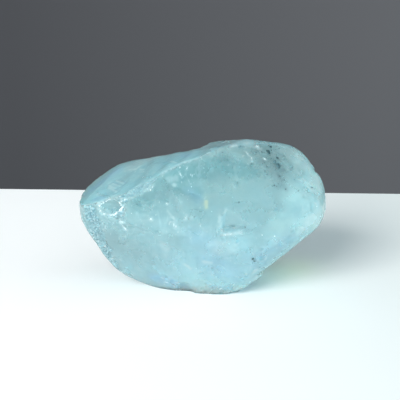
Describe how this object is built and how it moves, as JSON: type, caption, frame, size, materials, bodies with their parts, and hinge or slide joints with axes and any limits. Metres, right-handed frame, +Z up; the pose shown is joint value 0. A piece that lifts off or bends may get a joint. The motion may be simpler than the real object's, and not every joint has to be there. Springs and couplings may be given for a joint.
{
  "type": "rough topaz crystal",
  "caption": "Rough pale blue crystal: a worn pebble-like lump with a broad clear face, a glassy shell-shaped break on top and a sugary end, for display.",
  "frame": {"origin": "middle of the bounding box's underside, on the plane of the resting face", "axes": "+X along the stone's length, from the sugary end to the rounded end; +Z up from the resting face; the broad clear face looks along -Y"},
  "size_m": [0.0448, 0.022, 0.0269],
  "materials": {
    "topaz": "pale blue topaz, hazy inside, water-worn satin faces, glassy where it broke as a shell, sugary at one end"
  },
  "bodies": {
    "root": {"crystal": "topaz"}
  },
  "joints": []
}
